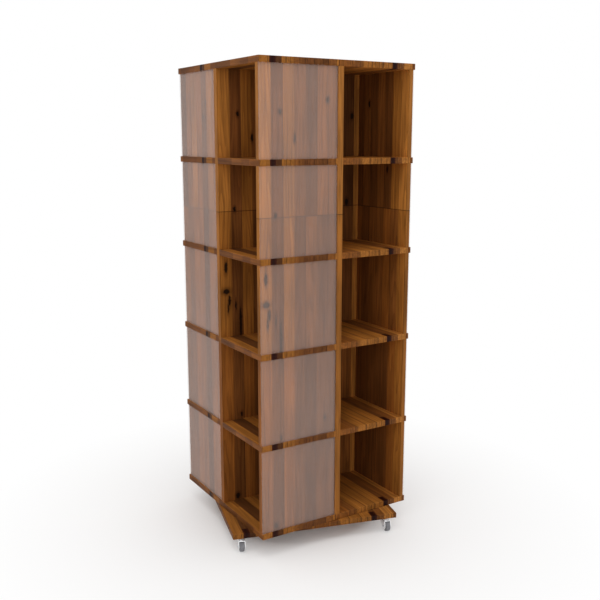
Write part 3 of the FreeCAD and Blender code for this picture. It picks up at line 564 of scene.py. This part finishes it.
class TOWER_OT_finish_dowels(bpy.types.Operator):
    """Give the dowels their bare beech"""
    bl_idname = "tower.finish_dowels"
    bl_label = "Finish dowels"

    def execute(self, context):
        # bare beech, turned: pale and dull, with short dark flecks along the peg, which are
        # drawn 0.8 mm wide, about twice as wide as real ones, so that they show
        material, tree = new_tree("bare_beech")
        stretched = add(tree, "Mapping", {
            "Vector": add(tree, "TexCoord", out="Object"),
            "Scale": (1 / (0.8 * MM), 1 / (0.8 * MM), 1 / (6 * MM))})
        fleck = add(tree, "TexNoise", {"Vector": stretched, "Scale": 1.0})
        share = add(tree, "MapRange", {"Value": fleck, "From Min": 0.55, "From Max": 0.7})
        colour = add(tree, "Mix", {
            SHARE: share, UNDER: rgba(linear("#cfa878")), OVER: rgba(linear("#9c7448"))},
            out=MIXED, data_type="RGBA")
        shader = add(tree, "BsdfPrincipled", {"Base Color": colour, "Roughness": 0.7})
        add(tree, "OutputMaterial", {"Surface": shader})
        finish_nodes(material, ["divider_dowels"])
        return {"FINISHED"}


class TOWER_OT_finish_panes(bpy.types.Operator):
    """Give the panes their milky acrylic"""
    bl_idname = "tower.finish_panes"
    bl_label = "Finish panes"

    def execute(self, context):
        panes = context.scene.tower_panes
        # milky acrylic, cast: a pale veil over the wood, partly the acrylic's milky tint and
        # partly a painted reflection of the pale room, that thickens at a slant as that reflection
        # does, faintly clouded, with a soft gloss that scuffs break up
        material, tree = new_tree("milky_acrylic")
        point = add(tree, "TexCoord", out="Object")
        slant = add(tree, "LayerWeight", {"Blend": 0.5}, out="Facing")
        veil_and_painted_reflection = add(tree, "MapRange", {
            "Value": slant, "To Min": panes.veil, "To Max": panes.slant_veil_and_painted_reflection})
        cloud = add(tree, "TexNoise", {"Vector": point, "Scale": 1 / (260 * MM), "Detail": 2.0})
        cloud = add(tree, "Math", (cloud, 0.5), operation="SUBTRACT")
        veil_and_painted_reflection = add(tree, "Math", (cloud, VEIL_CLOUD, veil_and_painted_reflection), operation="MULTIPLY_ADD",
                    use_clamp=True)
        scuff = add(tree, "TexNoise", {"Vector": point, "Scale": 1 / (14 * MM), "Detail": 4.0})
        gloss = add(tree, "MapRange", {
            "Value": scuff, "To Min": panes.polish, "To Max": panes.polish + 0.1})
        shader = add(tree, "BsdfPrincipled", {
            "Base Color": rgba(panes.tint), "Roughness": gloss, "IOR": 1.49,
            "Alpha": veil_and_painted_reflection})
        add(tree, "OutputMaterial", {"Surface": shader})
        finish_nodes(material, ["panes_" + face for face in FACES])
        return {"FINISHED"}


def metal(name, colour, roughness, grain, stretch=(1, 1, 1)):
    """A bare or plated metal whose tone and gloss vary with its working marks."""
    material, tree = new_tree(name)
    stretched = add(tree, "Mapping", {
        "Vector": add(tree, "TexCoord", out="Object"), "Scale": stretch})
    marks = add(tree, "TexNoise", {"Vector": stretched, "Scale": 1 / grain, "Detail": 3.0})
    gloss = add(tree, "MapRange", {
        "Value": marks, "From Min": 0.3, "From Max": 0.7,
        "To Min": roughness * MARK_GLOSS[0], "To Max": roughness * MARK_GLOSS[1]})
    tone = add(tree, "MapRange", {"Value": marks, "From Min": 0.3, "From Max": 0.7})
    base = add(tree, "Mix", {
        SHARE: tone, UNDER: rgba(c * MARK_TONE for c in colour), OVER: rgba(colour)},
        out=MIXED, data_type="RGBA")
    shader = add(tree, "BsdfPrincipled", {
        "Base Color": base, "Roughness": gloss, "Metallic": 1.0})
    add(tree, "OutputMaterial", {"Surface": shader})
    return material


class TOWER_OT_finish_bearing(bpy.types.Operator):
    """Give the ring bearing its turned aluminium, steel and moulded plastic"""
    bl_idname = "tower.finish_bearing"
    bl_label = "Finish bearing"

    def execute(self, context):
        casters = context.scene.tower_casters
        # turned aluminium: soft sheen with lathe marks over the height, which are really
        # about 0.1 mm apart and are drawn 0.4 mm apart, a quarter of their length
        rings = metal("turned_aluminium", casters.aluminium, roughness=0.32,
                      grain=1.5 * MM, stretch=(1, 1, 4))
        finish_nodes(rings, ["bearing_outer_ring", "bearing_inner_ring"])
        # ground steel: mirror-bright balls with a faint 3 mm cloud in their polish
        balls = metal("ground_steel", casters.plating, roughness=0.06, grain=3 * MM)
        finish_nodes(balls, ["bearing_balls"])
        # moulded plastic: near-black and dull, with the mould's faint grain, which is
        # really about 0.1 mm and is drawn at 0.6 mm
        material, tree = new_tree("moulded_cage_plastic")
        grain = add(tree, "TexNoise", {
            "Vector": add(tree, "TexCoord", out="Object"), "Scale": 1 / (0.6 * MM)})
        bump = add(tree, "Bump", {"Height": grain, "Strength": 0.3, "Distance": 0.05 * MM})
        shader = add(tree, "BsdfPrincipled", {
            "Base Color": rgba(casters.cage), "Roughness": 0.6, "Normal": bump})
        add(tree, "OutputMaterial", {"Surface": shader})
        finish_nodes(material, ["bearing_cage"])
        return {"FINISHED"}


class TOWER_OT_finish_casters(bpy.types.Operator):
    """Give the casters their bright plating, zinc rivets and grey rubber wheels"""
    bl_idname = "tower.finish_casters"
    bl_label = "Finish casters"

    def execute(self, context):
        casters = context.scene.tower_casters
        # bright chrome plate: near-white mirror, a little broken by 9 mm press marks
        plated = metal("bright_chrome_plate", casters.plating, roughness=0.12, grain=9 * MM)
        # zinc plate: duller and mottled, really by 0.2 mm, and drawn at 1.2 mm
        zinc = metal("zinc_plate", casters.steel, roughness=0.3, grain=1.2 * MM)
        # grey rubber, moulded: matte, with dusty patches about 16 mm wide and a fine grain,
        # which is really about 0.2 mm and is drawn at 0.9 mm
        rubber, tree = new_tree("grey_rubber")
        point = add(tree, "TexCoord", out="Object")
        grain = add(tree, "TexNoise", {"Vector": point, "Scale": 1 / (0.9 * MM), "Detail": 2.0})
        dust = add(tree, "TexNoise", {"Vector": point, "Scale": 1 / (16 * MM), "Detail": 2.0})
        share = add(tree, "MapRange", {"Value": dust, "From Min": 0.35, "From Max": 0.7})
        colour = add(tree, "Mix", {
            SHARE: share, UNDER: rgba(casters.rubber),
            OVER: rgba(c * DUST_TONE for c in casters.rubber)}, out=MIXED, data_type="RGBA")
        bump = add(tree, "Bump", {"Height": grain, "Strength": 0.35, "Distance": 0.08 * MM})
        shader = add(tree, "BsdfPrincipled", {
            "Base Color": colour, "Roughness": 0.62, "Normal": bump})
        add(tree, "OutputMaterial", {"Surface": shader})
        for corner in CORNERS:
            finish_nodes(plated, ["caster_plate_" + corner, "caster_fork_" + corner])
            finish_nodes(zinc, ["caster_axle_" + corner])
            finish_nodes(rubber, ["caster_wheel_" + corner])
        finish_nodes(zinc, ["caster_screws", "bearing_base_screws", "bearing_tower_screws"])
        return {"FINISHED"}


# ------------------------------------------------------------------ stage

# The large lamps: place, point looked at and side of the square, in metres
FRONT_LAMP = ((-2.6, -3.6, 2.4), (0, 0, 0.9), 2.6)
TOP_LAMP = ((-0.6, -0.8, 4.2), (0, 0, 1.0), 2.8)
# Width of the floor's rim, as a share of its radius
FLOOR_RIM = 0.6
# Tone of the floor's faint clouds against its colour
CLOUD_TONE = 0.985
# Distances from the axis, in metres, between which the floor runs out to white, and how
# white it is at the start and under the tower, where that white glow is a painted light that
# lightens the tower's shadow
WHITE_FROM, WHITE_TO = 0.32, 1.3
LEAST_GLOW_PAINTED_LIGHT = 0.006


def shown_as_background(tree):
    """One for rays from the camera, from gloss and through glass, nothing for light."""
    path = add(tree, "LightPath").node.outputs
    seen = add(tree, "Math", (path["Is Camera Ray"], path["Is Glossy Ray"]),
               operation="MAXIMUM")
    return add(tree, "Math", (seen, path["Is Transmission Ray"]), operation="MAXIMUM")


def large_lamp(name, place, aim, size, power):
    """A square area lamp that looks at a point."""
    bpy.ops.object.select_all(action="DESELECT")
    bpy.ops.object.light_add(type="AREA", location=place)
    lamp = bpy.context.object
    lamp.name = name
    lamp.data.shape = "SQUARE"
    lamp.data.size = size
    lamp.data.energy = power
    lamp.rotation_euler = (Vector(aim) - Vector(place)).to_track_quat("-Z", "Y").to_euler()


class TOWER_OT_set_stage(bpy.types.Operator):
    """Set the floor, the lamps, the room light and the camera"""
    bl_idname = "tower.set_stage"
    bl_label = "Set the stage"

    def execute(self, context):
        stage = context.scene.tower_stage
        bpy.ops.object.select_all(action="DESELECT")
        bpy.ops.mesh.primitive_circle_add(vertices=96, radius=stage.floor_reach, fill_type="NGON")
        floor = context.object
        floor.name = "studio_floor"
        bpy.ops.object.mode_set(mode="EDIT")
        bpy.ops.mesh.select_all(action="SELECT")
        bpy.ops.mesh.inset(thickness=stage.floor_reach * FLOOR_RIM)
        bpy.ops.object.mode_set(mode="OBJECT")

        # pale matt paint that keeps the shadow near the tower, with a white glow seen from the
        # camera that runs out to white; near and under the tower the glow is a painted light that
        # lightens the shadow
        material, tree = new_tree("pale_floor")
        point = add(tree, "TexCoord", out="Object")
        cloud = add(tree, "TexNoise", {"Vector": point, "Scale": 1 / (770 * MM), "Detail": 2.0})
        colour = add(tree, "Mix", {
            SHARE: cloud, UNDER: rgba(c * CLOUD_TONE for c in stage.floor_colour),
            OVER: rgba(stage.floor_colour)}, out=MIXED, data_type="RGBA")
        paint = add(tree, "BsdfPrincipled", {
            "Base Color": colour, "Roughness": 0.9, "Specular IOR Level": 0.1})
        reach = add(tree, "VectorMath", (point,), out="Value", operation="LENGTH")
        far = add(tree, "MapRange", {
            "Value": reach, "From Min": WHITE_FROM, "From Max": WHITE_TO,
            "To Min": LEAST_GLOW_PAINTED_LIGHT})
        far = add(tree, "Math", (far, 0.5), operation="POWER", use_clamp=True)
        far = add(tree, "Math", (far, shown_as_background(tree)), operation="MULTIPLY")
        glow = add(tree, "Emission", {"Color": (1, 1, 1, 1), "Strength": 1.0})
        mixed = add(tree, "MixShader", (far, paint, glow))
        add(tree, "OutputMaterial", {"Surface": mixed})
        floor.data.materials.append(material)

        # even light all round, which shows as plain white
        world = bpy.data.worlds.new("pale_room")
        context.scene.world = world
        world.use_nodes = True
        sky = world.node_tree
        sky.nodes.clear()
        strength = add(sky, "MapRange", {
            "Value": shown_as_background(sky), "To Min": stage.room_light, "To Max": 1.0})
        back = add(sky, "Background", {"Color": (1, 1, 1, 1), "Strength": strength})
        add(sky, "OutputWorld", {"Surface": back})

        large_lamp("front_lamp", *FRONT_LAMP, stage.key_power)
        large_lamp("top_lamp", *TOP_LAMP, stage.top_power)

        bpy.ops.object.select_all(action="DESELECT")
        bpy.ops.object.camera_add(location=stage.eye, rotation=(stage.tilt, 0, stage.heading))
        camera = context.object
        camera.name = "studio_camera"
        camera.data.lens = stage.lens
        camera.data.sensor_width = 36.0
        camera.data.clip_end = 60.0
        context.scene.camera = camera
        context.scene.view_settings.view_transform = "Standard"
        return {"FINISHED"}


# ------------------------------------------------------------------ panel

class TOWER_PT_finish(bpy.types.Panel):
    """Lists the steps of the tower's finish and their sizes and colours"""
    bl_label = "Media tower"
    bl_idname = "TOWER_PT_finish"
    bl_space_type = "VIEW_3D"
    bl_region_type = "UI"
    bl_category = "Tower"

    def draw(self, context):
        scene = context.scene
        for label, group in (("Wood", scene.tower_wood), ("Panes", scene.tower_panes),
                             ("Casters and bearing", scene.tower_casters),
                             ("Stage", scene.tower_stage)):
            box = self.layout.box()
            box.label(text=label)
            for name in group.__annotations__:
                box.prop(group, name)
        for operator in OPERATORS:
            self.layout.operator(operator.bl_idname)


GROUPS = (("tower_wood", TowerWood), ("tower_panes", TowerPanes),
          ("tower_casters", TowerCasters), ("tower_stage", TowerStage))
OPERATORS = (TOWER_OT_set_stage, TOWER_OT_finish_uprights, TOWER_OT_finish_levels,
             TOWER_OT_finish_dowels, TOWER_OT_finish_panes, TOWER_OT_finish_bearing,
             TOWER_OT_finish_casters)


def register():
    """Register the classes and hang the settings on the scene."""
    for name, group in GROUPS:
        bpy.utils.register_class(group)
        setattr(bpy.types.Scene, name, bpy.props.PointerProperty(type=group))
    for operator in OPERATORS:
        bpy.utils.register_class(operator)
    bpy.utils.register_class(TOWER_PT_finish)


def unregister():
    """Take the settings and the classes away again."""
    bpy.utils.unregister_class(TOWER_PT_finish)
    for operator in reversed(OPERATORS):
        bpy.utils.unregister_class(operator)
    for name, group in reversed(GROUPS):
        delattr(bpy.types.Scene, name)
        bpy.utils.unregister_class(group)


def main():
    """Register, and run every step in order."""
    register()
    bpy.ops.tower.set_stage()
    bpy.ops.tower.finish_uprights()
    bpy.ops.tower.finish_levels()
    bpy.ops.tower.finish_dowels()
    bpy.ops.tower.finish_panes()
    bpy.ops.tower.finish_bearing()
    bpy.ops.tower.finish_casters()


if __name__ == "__main__":
    main()
